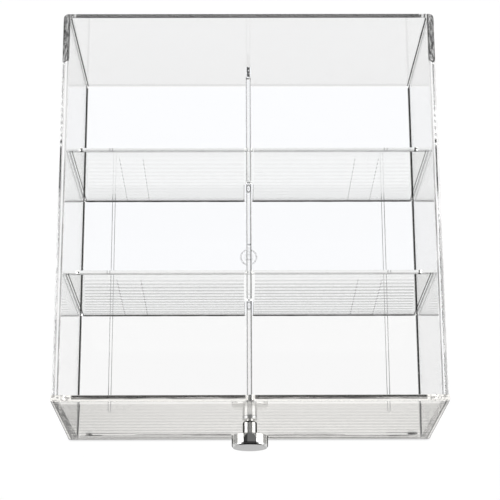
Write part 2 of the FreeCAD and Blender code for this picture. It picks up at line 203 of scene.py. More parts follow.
def moulded_tray_acrylic():
    """Clear acrylic, injection moulded and polished by its mould.

    Shade is painted on the thick edges, so they look darker than the walls: the fillets along the floor,
    the rims where the light goes round inside them and the cement at the front ends of the sides. The mark of the gate
    is darker too.
    """
    material = new_material("moulded_tray_acrylic")
    tree = material.node_tree
    place, across, along, up, wide = millimetres(tree)
    front, back, top, half = TRAY_LOW[1], TRAY_HIGH[1], TRAY_HIGH[2], TRAY_HIGH[0]

    # Painted reflection: the sides are painted with a grey that stands for the room they mirror, and the right one
    # with a little more of it towards the front.
    inner_face = zone(
        tree, (wide, FLOOR_HALF + 0.15, half - 2.4, 0.1), (up, 10.5, top - 0.5, 0.5), (along, None, back - 2.6, 0.2),
    )
    clear = 1.0
    for low, high, levels in ((None, 0, (0.06, 0.075, 0.09)), (0, None, (0.12, 0.10, 0.08))):
        tone = profile(tree, along, *zip((front, 0, back), levels))
        clear = darken(tree, clear, overlap(tree, inner_face, tone, zone(tree, (across, low, high, 1.0))), 1.0)

    # Painted shade: the back wall is painted a little grey all over, and its mirror is turned down to almost nothing.
    back_wall = zone(tree, (along, back - 2.6, None, 0.2), (up, FLOOR_TOP, None, 0.2))
    clear = darken(tree, clear, back_wall, 0.034)
    mirrors = node(tree, "ShaderNodeMath", {0: back_wall, 1: -0.95, 2: 1.0}, operation="MULTIPLY_ADD").outputs[0]

    # Painted shade: the fillet where each side meets the floor is painted as a near black line, where it bends the
    # view to the dark room, with gaps at the cross dividers.
    fillet = zone(tree, (wide, 94.1, 96.4, 0.3), (up, 3.5, 10.0, 0.8), (along, None, back - 3.5, 1.0))
    for name in ("front_cross_divider", "rear_cross_divider"):
        low, high = node_box(name)
        fillet = darken(tree, fillet, zone(tree, (along, low[1] - 0.2, high[1] + 0.2, 0.2)), 1.0)
    clear = darken(tree, clear, fillet, 0.93)

    # Painted shade: two grey lines are painted along each side's rim, where its rounded edges bend the view to the
    # dark room. The outer one is faint round the right end of the rear divider.
    on_rim = zone(tree, (up, top - 0.4, None, 0.1))
    side_rim = overlap(tree, on_rim, zone(tree, (wide, half - RIM_WIDTH, None, 0.1)))
    inner_line = profile(
        tree, wide, (half - 3.8, 0.0), (half - 3.5, 0.1), (half - 3.2, 0.6), (half - 2.75, 0.6), (half - 2.4, 0.0),
    )
    outer_line = profile(
        tree, wide, (half - 1.95, 0.0), (half - 1.6, 0.4), (half - 0.9, 0.5), (half - 0.45, 0.25), (half, 0.1),
    )
    outer_line = darken(tree, outer_line, zone(tree, (across, 0, None, 1.0), (along, -5, 60, 12)), 0.85)
    lines = node(tree, "ShaderNodeMath", {0: inner_line, 1: outer_line}, operation="ADD").outputs[0]
    wander = mottle(tree, place, (0.4, 0.05, 0.4), 0.3, 0.7, 0.65, 1.1)
    fainter = profile(tree, along, (front, 1.0), (10, 1.0), (50, 0.6), (back, 0.6))
    clear = darken(tree, clear, overlap(tree, side_rim, lines, wander, fainter), 1.0)

    # Painted shade: the rear 27 mm of the side rims are painted with dark blotches, and the back rim is painted dark
    # where light runs round inside it, with painted glints at its ends.
    blotches = mottle(tree, place, (1.5, 0.28, 0.4), 0.36, 0.64, 0.42, 0.85)
    rim_edge = profile(tree, wide, (half - RIM_WIDTH, 0.6), (half - 3.1, 0.75), (half - 2.8, 0.0), (half, 0.0))
    blotches = node(tree, "ShaderNodeMath", {0: blotches, 1: rim_edge}, operation="MAXIMUM").outputs[0]
    rear_rim = overlap(tree, on_rim, zone(tree, (along, back - 27.0, None, 1.2), (wide, half - RIM_WIDTH, None, 0.4)))
    clear = darken(tree, clear, overlap(tree, rear_rim, blotches), 1.0)
    back_rim = overlap(tree, on_rim, zone(tree, (along, back - 2.4, None, 0.2), (wide, None, 95.6, 0.5)))
    glints = mottle(tree, place, (0.9, 0.3, 0.4), 0.46, 0.54, 1.0, 0.35)
    far_out = zone(tree, (wide, 91.0, None, 1.0))
    glints = node(tree, "ShaderNodeMix", {0: far_out, 2: 1.0, 3: glints}, data_type="FLOAT").outputs[0]
    back_rim = overlap(tree, back_rim, glints)
    clear = darken(tree, clear, back_rim, 0.80)

    # Cement has run between the front ends of the sides and the panel; it is painted as blotched shade, less on the
    # right, as the set cement bends light aside.
    pools = mottle(tree, place, (0.7, 0.7, 0.22), 0.38, 0.62, 0.1, 0.5)
    cement = zone(tree, (along, None, front + 0.03, 0.02), (wide, 94.8, None, 0.6))
    clear = darken(tree, clear, overlap(tree, cement, pools, profile(tree, across, (-1, 1.0), (1, 0.25))), 1.0)

    # A broken dark ring and a few blotches are painted round the gate, where the mould was filled.
    radius = ring_distance(tree, place, GATE, (1, 1, 0))
    ring = profile(
        tree, radius, (0, 0.3), (1.0, 0.1), (2.2, 0.22), (3.2, 0.0), (3.8, 0.0), (4.2, 0.75), (4.7, 0.75), (5.1, 0.0),
    )
    dashes = mottle(tree, place, (1.5, 1.5, 0.1), 0.44, 0.54, 0.1, 0.65)
    mark = overlap(tree, zone(tree, (up, None, 1.6, 0.1)), ring, dashes)
    clear = darken(tree, clear, mark, 1.0)

    # The floor is a little greyer towards the front and a little bluer towards the back.
    on_floor = zone(tree, (up, FLOOR_TOP - 0.2, FLOOR_TOP + 0.1, 0.1))
    floor_tone = profile(
        tree, along, (front, 0.075), (-29, 0.065), (-20, 0.022), (40, 0.018), (50, 0.005), (back, 0.0),
    )
    clear = darken(tree, clear, overlap(tree, on_floor, floor_tone), 1.0)
    blue = overlap(tree, on_floor, zone(tree, (along, -28, None, 3.0)))
    colours = {0: blue, 6: linear("FFFFFF"), 7: linear("FCFDFF")}
    tint = node(tree, "ShaderNodeMix", colours, data_type="RGBA").outputs[2]

    # Painted shade: the ribs under the floor are painted as a dark line along their inner side, and as two at their
    # front ends, where they touch the paper and bend the view aside.
    rib = node(tree, "ShaderNodeMath", {0: wide, 1: RIB_PLACE}, operation="SUBTRACT").outputs[0]
    rib_line = zone(tree, (up, None, 0.9, 0.1), (rib, -1.05, -0.6, 0.15), (along, -78, None, 4))
    clear = darken(tree, clear, rib_line, 0.5)
    rib = node(tree, "ShaderNodeMath", {0: rib}, operation="ABSOLUTE").outputs[0]
    rib_edges = zone(tree, (up, None, 0.9, 0.1), (rib, 0.45, 1.2, 0.1), (along, None, -70, 4))
    clear = darken(tree, clear, rib_edges, 0.45)

    glass(tree, clear, tint, mirrors)
    return material


def foot_lines(tree, clear, place, across, up):
    """Painted shade on the sheet: the cement behind the panel's foot, as it shows through: pools at the ends, and the
    bead's edges.

    Each mark is a span from left to right and from low to high, in millimetres, and how dark it is. The lines
    are drawn 2 mm high, about a pixel of the picture at this slant, and the real ones may be finer.
    """
    uneven = mottle(tree, place, (0.11, 0.5, 0.35), 0.35, 0.65, 0.55, 1.0)
    marks = (
        ((-89.7, -80.3, 11.2, 13.4), 0.95), ((-88.9, -86.2, 12.6, 18.8), 0.8), ((-86.5, -62.0, 16.9, 18.5), 0.45),
        ((-62.0, -10.0, 13.6, 15.6), 0.68), ((-31.0, -9.5, 11.4, 13.6), 0.35), ((-80.0, -9.5, 5.3, 6.9), 0.2),
        ((10.0, 52.0, 12.6, 14.6), 0.50), ((10.0, 88.0, 4.6, 6.8), 0.42), ((10.0, 90.0, 9.4, 11.2), 0.38),
        ((74.0, 91.0, 17.4, 19.0), 0.5), ((86.5, 91.5, 12.2, 18.0), 0.7), ((76.0, 86.5, 9.2, 11.4), 0.6),
        ((24.0, 47.0, 14.2, 16.6), 0.16),
    )
    for (left, right, low, high), dark in marks:
        mark = overlap(tree, zone(tree, (across, left, right, 1.2), (up, low, high, 0.7)), uneven)
        clear = darken(tree, clear, mark, dark)
    return clear


def cast_panel_acrylic():
    """Clear acrylic sheet, cut and polished, with painted shade: its top edge is painted black between its ends, its
    face light grey.
    """
    material = new_material("front_panel_acrylic")
    tree = material.node_tree
    place, across, along, up, wide = millimetres(tree)
    face, top = PANEL_LOW[1], PANEL_HIGH[2]
    half = PANEL_HIGH[0]
    on_face = zone(tree, (along, None, face + 0.5, 0.2))

    # Faint darker bands, stronger towards the foot, and painted shade that makes the face greyer towards the top and
    # the ends, most at the left end.
    pitch, start = 7.35, -0.07
    turns = node(tree, "ShaderNodeMath", {0: up, 1: 1 / pitch, 2: start}, operation="MULTIPLY_ADD").outputs[0]
    saw = node(tree, "ShaderNodeMath", {0: turns}, operation="FRACT").outputs[0]
    steps = profile(tree, saw, (0, 0.0), (0.2, 0.7), (0.45, 1.0), (0.75, 0.5), (1.0, 0.0))
    fade = profile(tree, up, (18, 0.20), (30, 0.17), (42, 0.15), (60, 0.09), (80, 0.04), (90, 0.01))
    tone = profile(
        tree, up, (0, 1.0), (22, 1.0), (30, 0.985), (45, 0.96), (60, 0.925), (86, 0.90), (88.6, 0.88), (90.6, 1.0),
        (96, 1.0),
    )
    sideways = profile(tree, across, (-100, 0.10), (-80, 0.07), (-40, 0.02), (0, 0.0), (60, 0.0), (100, 0.035))
    clear = darken(tree, tone, sideways, 1.0)
    clear = darken(tree, clear, overlap(tree, steps, fade), 1.0)

    # Painted shade: the cement shows as a blotched dark band along each end, where the tray's side leans out behind
    # the sheet, stronger on the left and towards the top.
    wall_foot, wall_lean = 94.0, 0.018
    blotches = mottle(tree, place, (1.2, 0.5, 0.2), 0.38, 0.62, 0.02, 0.5)
    wall = node(tree, "ShaderNodeMath", {0: up, 1: wall_lean, 2: wall_foot}, operation="MULTIPLY_ADD").outputs[0]
    past = node(tree, "ShaderNodeMath", {0: wide, 1: wall}, operation="SUBTRACT").outputs[0]
    band = zone(tree, (past, 0, None, 0.5), (wide, None, half - 2.3, 0.2), (up, None, 91, 3))
    less_right = profile(tree, across, (-1, 1.0), (1, 0.15))
    rising = profile(tree, up, (0, 0.35), (50, 0.75), (90, 1.0))
    share = overlap(tree, less_right, rising)
    clear = darken(tree, clear, overlap(tree, band, blotches, share), 1.0)

    # Painted shade: the fillet along the floor is painted as a thin line where it shows through, and outside it the
    # sheet is painted darker, with faint curls.
    line_foot, line_lean = 94.7, -0.105
    line = node(tree, "ShaderNodeMath", {0: up, 1: line_lean, 2: line_foot}, operation="MULTIPLY_ADD").outputs[0]
    outside = node(tree, "ShaderNodeMath", {0: wide, 1: line}, operation="SUBTRACT").outputs[0]
    wedge = zone(tree, (outside, 0, None, 0.4), (past, None, -0.5, 0.3), (up, None, 89.5, 1.5))
    clear = darken(tree, clear, overlap(tree, wedge, profile(tree, across, (-1, 1.0), (1, 0.4))), 0.10)
    floor_line = zone(tree, (outside, 0.2, 0.75, 0.25), (up, 13, 89.5, 1.5))
    clear = darken(tree, clear, floor_line, 0.55)
    field = mottle(tree, place, (0.22, 0.3, 0.07), 0.3, 0.7)
    curls = profile(tree, field, (0, 0.0), (0.42, 0.0), (0.5, 1.0), (0.58, 0.0), (1, 0.0))
    curled = zone(tree, (outside, 1.6, None, 0.5), (up, 25, 88, 4))
    clear = darken(tree, clear, overlap(tree, curled, curls), 0.18)

    # Painted shade: two grey lines are painted down each end, one 2 mm in and one at the edge.
    rims = profile(
        tree, wide, (half - 2.5, 0.0), (half - 2.3, 0.0), (half - 2.15, 0.55), (half - 1.65, 0.55), (half - 1.5, 0.0),
        (half - 0.7, 0.0), (half - 0.55, 0.5), (half, 0.5),
    )
    clear = darken(tree, clear, rims, 1.0)
    clear = foot_lines(tree, clear, place, across, up)
    on_face_clear = node(tree, "ShaderNodeMix", {0: on_face, 2: 1.0, 3: clear}, data_type="FLOAT").outputs[0]

    # Painted shade: two dark bands are painted along the top edge, where the light runs down inside the sheet to its
    # dark foot, the front one streaked, with specks at their ends.
    on_edge = zone(tree, (up, top - 0.09, None, 0.06))
    span = overlap(tree, on_edge, zone(tree, (across, -89.5, 88.5, 1.0), (wide, 2.4, None, 0.8)))
    streaks = mottle(tree, place, (0.06, 1.8, 0.3), 0.38, 0.6, 0.45, 0.85)
    front_band = zone(tree, (along, face + 1.05, face + 2.2, 0.3))
    back_band = zone(tree, (along, face + 2.1, face + 3.2, 0.3))
    clear = darken(tree, on_face_clear, overlap(tree, span, front_band, streaks), 1.0)
    clear = darken(tree, clear, overlap(tree, span, back_band), 0.90)
    specks = mottle(tree, place, (0.55, 0.7, 0.5), 0.45, 0.62, 0.0, 0.5)
    ends = overlap(tree, on_edge, zone(tree, (wide, 90, None, 1.0)), specks)
    clear = darken(tree, clear, ends, 1.0)

    # The outermost millimetres and the band below the top edge mirror more, so they look lighter.
    lighter = node(tree, "ShaderNodeMath", {
        0: zone(tree, (up, 90, None, 1.5)), 1: zone(tree, (wide, half - 2.4, None, 0.2)),
    }, operation="MAXIMUM").outputs[0]
    mirrors = node(tree, "ShaderNodeMath", {0: lighter, 1: 0.25, 2: 0.6}, operation="MULTIPLY_ADD").outputs[0]
    glass(tree, clear, linear("FFFEFC")[:3], mirrors)
    return material


def centre_divider_acrylic():
    """Clear moulded acrylic, with painted shade: a thin dark line along each long edge and dark blotches at its rear
    end.
    """
    material = new_material("centre_divider_acrylic")
    tree = material.node_tree
    place, across, along, up, wide = millimetres(tree)
    low, high = node_box("centre_divider")
    back, top = high[1], high[2]
    on_top = zone(tree, (up, top - 0.75, None, 0.3))
    # Painted shade: a thin dark line along each long top edge, where its rounding bends the view aside, darker on the
    # right.
    left_tone = profile(tree, along, (low[1], 0.1), (-84, 0.1), (-82, 0.6), (back, 0.4))
    right_tone = profile(tree, along, (low[1], 0.1), (-84, 0.1), (-82, 0.7), (-20, 0.8), (40, 0.55), (back, 0.33))
    left_edge = overlap(tree, on_top, zone(tree, (across, -1.5, -0.8, 0.2)), left_tone)
    right_edge = overlap(tree, on_top, zone(tree, (across, 0.75, 1.5, 0.2)), right_tone)
    before_end = zone(tree, (along, None, back - 6.1, 0.6))
    clear = darken(tree, 1.0, overlap(tree, left_edge, before_end), 1.0)
    clear = darken(tree, clear, overlap(tree, right_edge, before_end), 1.0)
    # Painted shade: dark blotches on the top at the rear end, where light from the back wall is bent away.
    blobs = mottle(tree, place, (0.9, 0.6, 0.9), 0.38, 0.5)
    rear_end = zone(tree, (along, back - 6.3, None, 0.4), (wide, None, 0.85, 0.4), (up, top - 0.3, None, 0.1))
    clear = darken(tree, clear, overlap(tree, rear_end, blobs), 0.93)

    # Cement has left a loop on the top edge, before each cross divider; it is painted as a dark loop of shade, as set
    # cement bends light aside.
    for at, dark in ((LOOP_REAR, 0.6), (LOOP_FRONT, 0.45)):
        reach = ring_distance(tree, place, at, (1.5, 0.85, 0))
        loop = profile(tree, reach, (0, 0.6), (0.5, 0.35), (0.8, 0.0), (1.2, 0.0), (1.5, 1.0), (2.0, 1.0), (2.3, 0.0))
        clear = darken(tree, clear, overlap(tree, loop, on_top), dark)
    glass(tree, clear)
    return material


def cross_divider_acrylic(name, tone, contrast, lines, mirrors, shift):
    """Clear moulded acrylic with fine darker bands across its front face, drawn as wide as they show, and painted
    shade at its edges.

    Tone is the painted level of the whole front face, contrast that of the bands and lines that of the two upright
    lines and the painted shade at the ends;
    mirrors is the strength of its reflections, and shift moves the bands by a share of their distance.
    """
    material = new_material("cross_divider_acrylic_" + name)
    tree = material.node_tree
    along, up, wide = millimetres(tree)[2:]
    low, high = node_box(name)
    front, top = low[1], high[2]
    on_front = zone(tree, (along, None, front + 0.8, 0.4))

    # The bands are 4.5 mm apart at the foot and 6.5 mm near the top. Beyond the outer upright line they lie a little
    # lower.
    start, slope, bend = 13.96 + shift, -0.226, 0.000502
    upright_middle, upright_reach, upright_half = 63.4, 6.3, 0.15
    rate = node(tree, "ShaderNodeMath", {0: up, 1: bend, 2: slope}, operation="MULTIPLY_ADD").outputs[0]
    turns = node(tree, "ShaderNodeMath", {0: up, 1: rate, 2: start}, operation="MULTIPLY_ADD").outputs[0]
    nudge = zone(tree, (wide, upright_middle + upright_reach, None, 0.4))
    turns = node(tree, "ShaderNodeMath", {0: nudge, 1: 0.12, 2: turns}, operation="MULTIPLY_ADD").outputs[0]
    saw = node(tree, "ShaderNodeMath", {0: turns}, operation="FRACT").outputs[0]
    step = profile(tree, saw, (0, 0.0), (0.12, 0.15), (0.38, 0.85), (0.5, 1.0), (0.68, 0.7), (0.88, 0.2), (1.0, 0.0))

    # They end at a slanting line near the wall, and fade out towards the top.
    end_foot, end_lean = 92.5, -0.0827
    edge = node(tree, "ShaderNodeMath", {0: up, 1: end_lean, 2: end_foot}, operation="MULTIPLY_ADD").outputs[0]
    past = node(tree, "ShaderNodeMath", {0: edge, 1: wide}, operation="SUBTRACT").outputs[0]
    field = zone(tree, (past, 0, None, 0.6), (wide, 2.9, None, 0.6))
    height = profile(tree, up, (4, 0.5), (25, 0.7), (33, 1.0), (60, 0.95), (72, 0.55), (78, 0.15), (82, 0.0))
    clear = darken(tree, tone, overlap(tree, step, field, height), contrast)
    below = profile(tree, up, (3, 0.09), (25, 0.06), (32, 0.0), (70, 0.0), (80, 0.05))
    clear = darken(tree, clear, overlap(tree, below, field), 1.0)

    # Two upright dark lines, dotted where they cross the bands.
    joints = node(tree, "ShaderNodeMath", {0: wide, 1: upright_middle}, operation="SUBTRACT").outputs[0]
    joints = node(tree, "ShaderNodeMath", {0: joints}, operation="ABSOLUTE").outputs[0]
    joints = zone(tree, (joints, upright_reach - upright_half, upright_reach + upright_half, 0.15), (up, None, 72, 10))
    clear = darken(tree, clear, overlap(tree, joints, step), 0.4 + lines)

    # Painted shade: the slot over the centre divider is painted with grey edges.
    slot = zone(tree, (wide, 2.3, 2.8, 0.2), (up, 4, 31, 1.5))
    clear = darken(tree, clear, slot, 0.4)

    # Painted shade: each end is painted with two grey lines beside the wall, which leans out by the draft's slope, and
    # with a grey triangle outside the bands.
    slope = 0.01296
    half = node(tree, "ShaderNodeMath", {0: up, 1: slope, 2: FLOOR_HALF - 0.05}, operation="MULTIPLY_ADD").outputs[0]
    inset = node(tree, "ShaderNodeMath", {0: half, 1: wide}, operation="SUBTRACT").outputs[0]
    ends = profile(
        tree, inset, (-0.2, 0.42), (0.4, 0.42), (0.7, 0.0), (1.05, 0.0), (1.25, 0.55), (1.6, 0.55), (1.85, 0.0),
        (3.0, 0.0),
    )
    clear = darken(tree, clear, overlap(tree, ends, zone(tree, (up, 5, None, 1.0))), 0.9 + 1.3 * lines)
    triangle = zone(tree, (past, None, 0, 0.6), (inset, 2.0, None, 0.4))
    clear = darken(tree, clear, triangle, lines * 0.3)
    painted = node(tree, "ShaderNodeMix", {0: on_front, 2: 1.0, 3: clear}, data_type="FLOAT").outputs[0]

    # Painted shade: the top edge is painted as a grey line.
    crest = zone(tree, (up, top - 1.1, None, 0.3), (along, None, front + 1.0, 0.2), (wide, 2.6, None, 0.4))
    clear = darken(tree, painted, crest, 0.27)
    glass(tree, clear, linear("FFFFFE")[:3], mirrors)
    return material


def set_cement(name, dark):
    """Solvent cement that has run into a joint and set clear: it bends the light aside, and that shade is painted into
    it as an uneven dark tint.
    """
    material = new_material(name)
    tree = material.node_tree
    place = millimetres(tree)[0]
    uneven = mottle(tree, place, (0.12, 0.5, 0.5), 0.35, 0.65, 0.75, 1.0)
    clear = darken(tree, 1.0, uneven, dark)
    glass(tree, clear)
    return material


def polished_chrome(metal):
    """Bright chrome plate on turned brass: the side mirrors the studio, the face keeps fine rings from the tool."""
    material = new_material("polished_chrome")
    tree = material.node_tree
    place, _, along, _, wide = millimetres(tree)
    middle = (0.0, 0.0, (KNOB_LOW[2] + KNOB_HIGH[2]) / 2)
    radius = ring_distance(tree, place, middle, (1, 0, 1))

    # The rings are 0.2 mm apart on the real one and 1.1 mm here, so that they show.
    turns = 2 * math.pi / metal.ring_pitch * MM
    wave = node(tree, "ShaderNodeMath", {0: radius, 1: turns}, operation="MULTIPLY").outputs[0]
    wave = node(tree, "ShaderNodeMath", {0: wave}, operation="SINE").outputs[0]
    on_face = zone(tree, (along, None, KNOB_LOW[1] + 0.06, 0.04))
    rings = overlap(tree, on_face, profile(tree, wave, (-1, 0.0), (1, 1.0)))

    # Painted reflection: where the knob's side slants away it is painted dark, as the dark room it mirrors, and a dark
    # crescent is painted behind its front edge.
    near_stem = STEM_RADIUS + 0.85
    slant = node(tree, "ShaderNodeLayerWeight", {"Blend": 0.5}).outputs["Facing"]
    normal = node(tree, "ShaderNodeNewGeometry").outputs["Normal"]
    facing = node(tree, "ShaderNodeSeparateXYZ", {0: normal}).outputs[1]
    facing = node(tree, "ShaderNodeMath", {0: facing}, operation="ABSOLUTE").outputs[0]
    sideways = zone(tree, (facing, None, 0.55, 0.1))
    on_stem = zone(tree, (radius, None, near_stem, 0.1))
    slant = node(tree, "ShaderNodeMath", {0: on_stem, 1: 0.3, 2: slant}, operation="MULTIPLY_ADD").outputs[0]
    edge = overlap(tree, zone(tree, (slant, 0.70, None, 0.1)), sideways)
    crescent = zone(tree, (along, KNOB_LOW[1] + 0.5, KNOB_LOW[1] + 1.6, 0.2), (wide, None, near_stem, 1.0))
    clear = darken(tree, 1.0, rings, 0.2)
    clear = darken(tree, clear, crescent, 0.85)
    clear = darken(tree, clear, on_face, 0.44)
    clear = darken(tree, clear, edge, 0.75)
    colour = node(tree, "ShaderNodeVectorMath", {0: metal.chrome, "Scale": clear}, operation="SCALE").outputs[0]
    rough = node(tree, "ShaderNodeMath", {0: on_face, 1: 0.22, 2: 0.03}, operation="MULTIPLY_ADD").outputs[0]
    tints = {0: edge, 6: (1, 1, 1, 1), 7: (0.02, 0.02, 0.02, 1)}
    edge_shade_tint = node(tree, "ShaderNodeMix", tints, data_type="RGBA").outputs[2]
    shine = node(tree, "ShaderNodeBsdfPrincipled", {
        "Base Color": colour, "Metallic": 1.0, "Roughness": rough, "Specular Tint": edge_shade_tint,
    })
    node(tree, "ShaderNodeOutputMaterial", {"Surface": shine.outputs[0]})
    return material


def zinc_plated_steel(metal):
    """Cold formed steel, plated with bright zinc: a soft white sheen with a slight cloudiness."""
    material = new_material("zinc_plated_steel")
    tree = material.node_tree
    place = millimetres(tree)[0]
    cloudy = mottle(tree, place, (0.9, 0.9, 0.9), 0.3, 0.7, 0.88, 1.0)
    colour = node(tree, "ShaderNodeVectorMath", {0: metal.zinc, "Scale": cloudy}, operation="SCALE").outputs[0]
    shine = node(tree, "ShaderNodeBsdfPrincipled", {"Base Color": colour, "Metallic": 1.0, "Roughness": 0.32})
    node(tree, "ShaderNodeOutputMaterial", {"Surface": shine.outputs[0]})
    return material


def white_sweep(studio):
    """Matt white paper, white to the eye, with a painted contact shadow where the drawer touches it.

    Through plastic it shows a painted pool of light, white near the drawer and dark beyond it. A mirror shows a dim
    gap there, and bright paper again farther out.
    """
    material = new_material("matt_white_paper")
    tree = material.node_tree
    light = node(tree, "ShaderNodeLightPath")
    place = node(tree, "ShaderNodeTexCoord").outputs["Object"]
    across, along = node(tree, "ShaderNodeSeparateXYZ", {0: place}).outputs[:2]
    wide = node(tree, "ShaderNodeMath", {0: across}, operation="ABSOLUTE").outputs[0]
    deep = node(tree, "ShaderNodeMath", {0: along}, operation="ABSOLUTE").outputs[0]
    wide = node(tree, "ShaderNodeMath", {0: wide, 1: studio.lit_width / 2}, operation="SUBTRACT").outputs[0]
    deep = node(tree, "ShaderNodeMath", {0: deep, 1: studio.lit_depth / 2}, operation="SUBTRACT").outputs[0]
    past = node(tree, "ShaderNodeMath", {0: wide, 1: deep}, operation="MAXIMUM").outputs[0]
    lit = zone(tree, (past, None, studio.lit_edge / 2, studio.lit_edge))
    camera = light.outputs["Is Camera Ray"]
    mirrored = light.outputs["Is Glossy Ray"]
    through = light.outputs["Is Transmission Ray"]
    other = node(tree, "ShaderNodeMath", {0: mirrored, 1: through}, operation="MAXIMUM").outputs[0]
    far = profile(tree, past, (0.0, studio.far_paper), (0.03, studio.far_paper), (0.05, 1.0), (1.5, 1.0))
    beyond = node(tree, "ShaderNodeMix", {0: mirrored, 2: studio.room, 3: far}, data_type="FLOAT").outputs[0]
    shown = node(tree, "ShaderNodeMix", {0: lit, 2: beyond, 3: studio.near_paper}, data_type="FLOAT").outputs[0]

    # The eye sees the paper white, with a painted contact shadow where something touches it, and 3 percent of it as
    # lit.
    own_light = 0.97
    touch = node(tree, "ShaderNodeAmbientOcclusion", {"Distance": studio.touch}, samples=16).outputs["AO"]
    touch = profile(tree, touch, (0.0, 0.25), (0.55, 0.75), (0.85, 1.02), (1.0, 1.02))
    bright = node(tree, "ShaderNodeMix", {0: camera, 2: shown, 3: touch}, data_type="FLOAT").outputs[0]
    paper = node(tree, "ShaderNodeBsdfDiffuse", {"Color": linear("F2F2F2")})
    glow = node(tree, "ShaderNodeEmission", {"Color": (1, 1, 1, 1), "Strength": bright})
    own = node(tree, "ShaderNodeMath", {0: camera, 1: own_light}, operation="MULTIPLY").outputs[0]
    share = node(tree, "ShaderNodeMath", {0: own, 1: other}, operation="MAXIMUM").outputs[0]
    mix = node(tree, "ShaderNodeMixShader", {0: share, 1: paper.outputs[0], 2: glow.outputs[0]})
    node(tree, "ShaderNodeOutputMaterial", {"Surface": mix.outputs[0]})
    return material


# Settings

class DrawerStudio(bpy.types.PropertyGroup):
    """The camera and the studio."""

    lens: FloatProperty(name="Lens", description="Focal length on a 36 mm sensor", default=121.01)
    place: FloatVectorProperty(
        name="Camera place", description="The camera's place in the drawer's frame",
        default=(-0.00556, -0.28533, 0.91738), subtype="TRANSLATION", unit="LENGTH",
    )
    tilt: FloatProperty(
        name="Tilt", description="How far the camera looks up from straight down",
        default=math.radians(17.9031), subtype="ANGLE",
    )
    turn: FloatProperty(
        name="Turn", description="The camera's turn about the vertical",
        default=math.radians(-1.2306), subtype="ANGLE",
    )
    roll: FloatProperty(
        name="Roll", description="The camera's roll about its own line of sight",
        default=math.radians(1.0564), subtype="ANGLE",
    )
    lamp_power: FloatProperty(name="Lamp power", description="Power of each soft box", default=14.0, unit="POWER")
    lit_width: FloatProperty(
        name="Lit width", description="How wide the lit paper is, left to right", default=0.25, unit="LENGTH",
    )
    lit_depth: FloatProperty(
        name="Lit depth", description="How deep the lit paper is, front to back", default=0.32, unit="LENGTH",
    )
    lit_edge: FloatProperty(
        name="Lit edge", description="How softly the lit paper ends", default=0.03, unit="LENGTH",
    )
    near_paper: FloatProperty(
        name="Near paper", description="How bright the paper is through plastic and in a mirror", default=1.07,
    )
    far_paper: FloatProperty(
        name="Far paper", description="How bright the gap round the lit paper is in a mirror", default=0.35,
    )
    ceiling: FloatProperty(name="Ceiling", description="How bright the ceiling is in a mirror", default=0.24)
    room: FloatProperty(name="Room", description="How bright the rest of the room is in a mirror", default=0.03)
    touch: FloatProperty(
        name="Touch", description="How far the shade of a touching edge reaches", default=0.0016, unit="LENGTH",
    )


class DrawerMetal(bpy.types.PropertyGroup):
    """The knob and its screw."""

    chrome: FloatVectorProperty(
        name="Chrome", description="Colour of the chrome plate", default=linear("CDCDCC")[:3], subtype="COLOR",
    )
    zinc: FloatVectorProperty(
        name="Zinc", description="Colour of the zinc plate", default=linear("DCDEE0")[:3], subtype="COLOR",
    )
    ring_pitch: FloatProperty(
        name="Ring pitch", description="Distance between the rings on the knob's face", default=0.0011, unit="LENGTH",
    )
    rounding: FloatProperty(
        name="Rounding", description="How far the knob's front edge is rounded back", default=0.0016, unit="LENGTH",
    )
    pitch: FloatProperty(name="Pitch", description="Pitch of the screw's thread", default=0.0007, unit="LENGTH")
    recess: FloatProperty(
        name="Recess", description="Span of the cross in the screw's head", default=0.0042, unit="LENGTH",
    )


class DrawerCement(bpy.types.PropertyGroup):
    """The beads of cement in the joints."""

    divider_leg: FloatProperty(
        name="Divider leg", description="How far the cement stands out before a cross divider", default=0.0004,
        unit="LENGTH",
    )
    panel_leg: FloatProperty(
        name="Panel leg", description="How far the cement stands out behind the panel", default=0.00135, unit="LENGTH",
    )
    gap: FloatProperty(
        name="Gap", description="How far the cement ends from the middle of the drawer", default=0.0019, unit="LENGTH",
    )


# Meshes

def add_object(name, data):
    """A new object in the scene."""
    made = bpy.data.objects.new(name, data)
    bpy.context.scene.collection.objects.link(made)
    return made


def skin(name, rings, sharp=30):
    """A closed mesh over rings of points, in millimetres: each ring is joined to the next, and both ends get a cap.

    The sum of a . (b x c) over its triangles has the sign of the volume, and a negative one turns the faces.
    """
    count, around = rings.shape[:2]
    corner = np.arange(count * around).reshape(count, around)
    ahead = np.roll(corner, -1, 1)
    quads = np.stack([corner[:-1], ahead[:-1], ahead[1:], corner[1:]], -1).reshape(-1, 4)
    first = np.stack([corner[0], ahead[0], np.full(around, count * around)], -1)[:, ::-1]
    last = np.stack([corner[-1], ahead[-1], np.full(around, count * around + 1)], -1)
    points = np.concatenate([rings.reshape(-1, 3), rings[:1].mean(1), rings[-1:].mean(1)]) * MM
    volume = 0.0
    for corners in (quads[:, [0, 1, 2]], quads[:, [0, 2, 3]], first, last):
        a, b, c = (points[corners[:, k]] for k in range(3))
        volume += np.einsum("ij,ij->i", a, np.cross(b, c)).sum()
    faces = [*quads.tolist(), *first.tolist(), *last.tolist()]
    if volume < 0:
        faces = [face[::-1] for face in faces]
    mesh = bpy.data.meshes.new(name)
    mesh.from_pydata(points.tolist(), [], faces)
    mesh.validate()
    mesh.shade_smooth()
    mesh.set_sharp_from_angle(angle=math.radians(sharp))
    return mesh


def turned(radii, heights, centre, segments):
    """Rings of a turned piece: the point at turn t is the radius times (sin t, 0, cos t) from the centre line."""
    turn = np.linspace(0, 2 * np.pi, segments, endpoint=False)[None]
    radii = np.broadcast_to(radii, (len(heights), segments))
    along = np.broadcast_to(np.reshape(heights, (len(heights), -1)), (len(heights), segments))
    return np.stack([radii * np.sin(turn), along, centre + radii * np.cos(turn)], -1)


